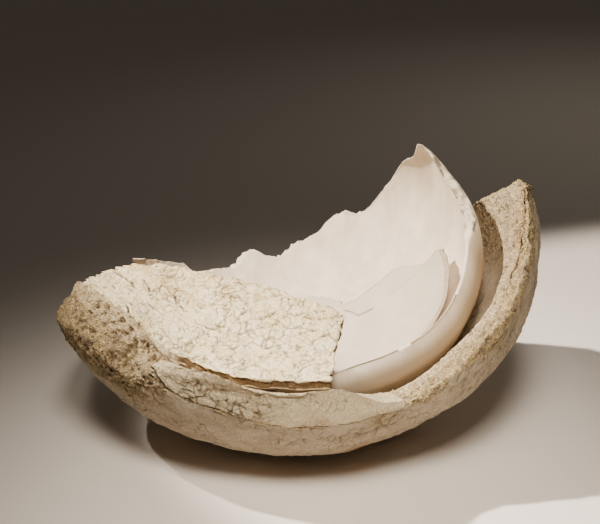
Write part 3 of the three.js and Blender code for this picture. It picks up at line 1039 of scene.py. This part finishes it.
def slab_plates(s, base, along, back):
    """(offset, dark, pits) of the top: plates between fine cracks, long cracks and pits."""
    skewed = base @ np.array([[1.0, 0.35, 0], [-0.5, 0.8, 0], [0, 0, 1.0]])
    inside, value = cells(warped(skewed, 9, 4.5, 321), 12.5, 323)
    some = smoothstep(noise(base, 30, 329) + 0.9 * (s.u - 0.35), -0.3, 0.15)
    line = (1 - smoothstep(inside, 0.1, 1.3)) * some
    plates = (0.7 * (value - 0.5) + 0.3 * smoothstep(inside, 0, 3)) * some
    swell = 1.5 * rough(base, 34, 3, 331) + 0.9 * rough(base, 6, 3, 335)
    pit_inside, pit_value = cells(warped(base, 5, 1.5, 341), 4.6, 343)
    to_back = smoothstep(s.v, 0.5, 0.95)
    pits = (pit_value < 0.10 + 0.25 * to_back) * smoothstep(pit_inside, 0.2, 1.3)
    pits *= smoothstep(rough(base, 22, 2, 347), 0.2 - 0.5 * to_back, 0.55 - 0.3 * to_back)
    wiggle = 2.0 * rough(base, 10, 3, 357)
    long_cracks = np.max([groove(along + wiggle, back + wiggle, path, 2.1)
                          for path in SLAB_CRACKS], axis=0)
    offset = swell + plates - 1.1 * line - 1.6 * pits - 2.2 * long_cracks
    return offset, np.maximum(0.75 * line + 0.25 * pits, 0.95 * long_cracks), pits


def build_slab(material):
    s = block_surface(graded(234), graded(194), graded(9), slab_place)
    base = s.points
    along, back = s.u * SLAB_LENGTH, s.v * SLAB_WIDTH
    to_edge = np.min([along, SLAB_LENGTH - along, back, SLAB_WIDTH - back], axis=0)
    at_edge = 1 - smoothstep(to_edge, 0.0, 7.0)
    flat = base * np.array([1, 1, 0.2])
    still = np.zeros(len(base))
    shift = np.stack([rough(flat, 12, 4, 301), rough(flat, 12, 4, 305), still], axis=1)
    ragged_by = 2.0 + 1.0 * (s.u < 0.5)
    s.points = base + ragged_by[:, None] * shift * at_edge[:, None]

    # The raw side under the skin, set back from it where the slab isn't joined to the wall
    depth = (1 - s.w) * SLAB_THICKNESS
    joined = (1 - smoothstep(s.u, 0.38, 0.46)) * (s.v < 0.3) + (s.u < 0.1) * (s.v < 0.7)
    joined = np.clip(joined, 0, 1)
    skin_depth = 1.8 + 1.6 * rough(base, 8, 3, 311)
    raw = smoothstep(depth, skin_depth - 0.4, skin_depth + 0.5) * (to_edge < 0.01)
    raw *= 1 - 0.7 * joined
    recess = raw * (1.8 + 1.4 * rough(base, 5, 2, 351)) * (1 - joined)

    # The top, crumbling at its front left edge
    top_offset, top_dark, pits = slab_plates(s, base, along, back)
    from_edge = np.minimum(along, back + FAR * smoothstep(s.u, 0.3, 0.5))
    crumble = (1 - smoothstep(from_edge, 2.0, 14.0)) * (s.v < 0.85)
    crumble *= smoothstep(rough(base, 14, 2, 371), -0.5, 0.3)
    grit, grit_dark = spongy(base)
    top_offset = lerp(top_offset, 0.8 * grit + 0.5, crumble)
    top = s.w > 0.99
    s.move(np.where(top, top_offset, -recess))

    dark = np.where(top, np.maximum(top_dark, grit_dark * crumble), 0.0)
    weathered = np.clip(0.30 + smoothstep(s.v, 0.5, 0.95) + 0.9 * (0.6 - s.u), 0, 1)
    patches = smoothstep(rough(base, 16, 3, 361), 0.0, 0.7) * weathered
    tint = np.where(top, np.clip(0.9 * pits + 0.5 * patches + 0.22 * weathered, 0, 1), 0.0)
    make_object("slab_piece", s, material, "draped_slab", "slab",
                (dark, np.maximum(tint, 0.35 * crumble), raw))


# ---------------------------------------- camera, lights, floor

AIM = Vector((0.0083, -0.00797, 0.1821))
CAMERA_DISTANCE = 1.5
CAMERA_ELEVATION = math.radians(20)
WARM = (1.0, 0.90, 0.78)


def add_camera():
    data = bpy.data.cameras.new("camera")
    data.lens = 90
    data.sensor_width = 36
    camera = bpy.data.objects.new("camera", data)
    back = Vector((0, -math.cos(CAMERA_ELEVATION), math.sin(CAMERA_ELEVATION)))
    camera.location = AIM + CAMERA_DISTANCE * back
    camera.rotation_euler = back.to_track_quat("Z", "Y").to_euler()
    bpy.context.scene.collection.objects.link(camera)
    bpy.context.scene.camera = camera


def add_spot(name, place, target, power, radius, angle, blend):
    """A warm spot lamp: its radius, the angle of its cone and how soft the cone's edge is."""
    data = bpy.data.lights.new(name, "SPOT")
    data.energy = power
    data.color = WARM
    data.shadow_soft_size = radius
    data.spot_size = math.radians(angle)
    data.spot_blend = blend
    light = bpy.data.objects.new(name, data)
    light.location = place
    light.rotation_euler = (Vector(place) - Vector(target)).to_track_quat("Z", "Y").to_euler()
    bpy.context.scene.collection.objects.link(light)


def add_floor():
    mesh = bpy.data.meshes.new("floor")
    half = 9.0
    corners = [(-half, -half, 0), (half, -half, 0), (half, half, 0), (-half, half, 0)]
    mesh.from_pydata(corners, [], [(0, 1, 2, 3)])
    n = Nodes("floor_paper")
    colour = n.mix(n.noise(900, 2.0, 0.5), srgb(238, 230, 221), srgb(232, 223, 213))
    grain = n.noise(2.0, 2.0)
    roughness = n.ramp(n.noise(300, 2.0), 0.2, 0.8, 0.75, 0.85)
    mesh.materials.append(n.finish(colour, [(grain, 0.02)], roughness))
    floor = bpy.data.objects.new("floor", mesh)
    bpy.context.scene.collection.objects.link(floor)


def add_world():
    world = bpy.data.worlds.new("studio")
    bpy.context.scene.world = world
    world.use_nodes = True
    background = world.node_tree.nodes["Background"]
    background.inputs["Color"].default_value = (1.0, 0.86, 0.72, 1.0)
    background.inputs["Strength"].default_value = 0.046


add_camera()
add_floor()
add_world()
add_spot("key", (-1.144, -0.17, 1.60), (0.20, 0.02, 0.32),
         power=450, radius=0.04, angle=29, blend=0.3)
add_spot("fill", (0.06, -1.25, 1.42), (0.06, -0.33, 0.0),
         power=145, radius=0.20, angle=36, blend=0.9)
add_spot("back", (0.9, 1.9, 1.2), (0.55, 0.9, 0.0),
         power=10, radius=0.60, angle=80, blend=1.0)
add_spot("overhead", (-0.10, -0.95, 1.40), (0.06, -0.12, 0.14),
         power=130, radius=0.30, angle=19, blend=1.0)

# ---------------------------------------- the pieces

BACKING = porous_plaster(
    "backing_plaster", light=srgb(212, 197, 170), mid=srgb(192, 175, 148),
    tint=srgb(190, 146, 102), raw=srgb(252, 222, 162), dark=srgb(98, 74, 48))
FACING = porous_plaster(
    "facing_plaster", light=srgb(254, 236, 206), mid=srgb(246, 222, 186),
    tint=srgb(190, 142, 90), raw=srgb(255, 232, 182), dark=srgb(112, 84, 52))
# Its tint colour is painted shade in the lip's hollows.
LIP = porous_plaster(
    "lip_plaster", light=srgb(252, 236, 202), mid=srgb(242, 222, 184),
    tint=srgb(176, 154, 124), raw=srgb(250, 224, 174), dark=srgb(108, 84, 56))
SKIN = crackled_skin(
    "crackled_skin", light=srgb(252, 237, 202), mid=srgb(246, 225, 176),
    tint=srgb(206, 176, 120), raw=srgb(132, 107, 75), dark=srgb(92, 70, 44))
# Its dark colour is also the painted shade on the bowl's outside below its front rim.
WHITE = cast_plaster(
    "cast_white", light=srgb(238, 225, 206), mid=srgb(212, 195, 172),
    dark=srgb(152, 134, 108), streak=0.8)
WHITE_INNER = cast_plaster(
    "inner_white", light=srgb(208, 195, 178), mid=srgb(192, 178, 160),
    dark=srgb(160, 140, 112), streak=0.5)

build_shell(BACKING)
build_coat(FACING)
build_lip(LIP)
build_bowl(WHITE)
build_second(WHITE_INNER)
for shard_name, shard_spec in SHARDS.items():
    build_shard(shard_name, shard_spec, WHITE)
build_slab(SKIN)
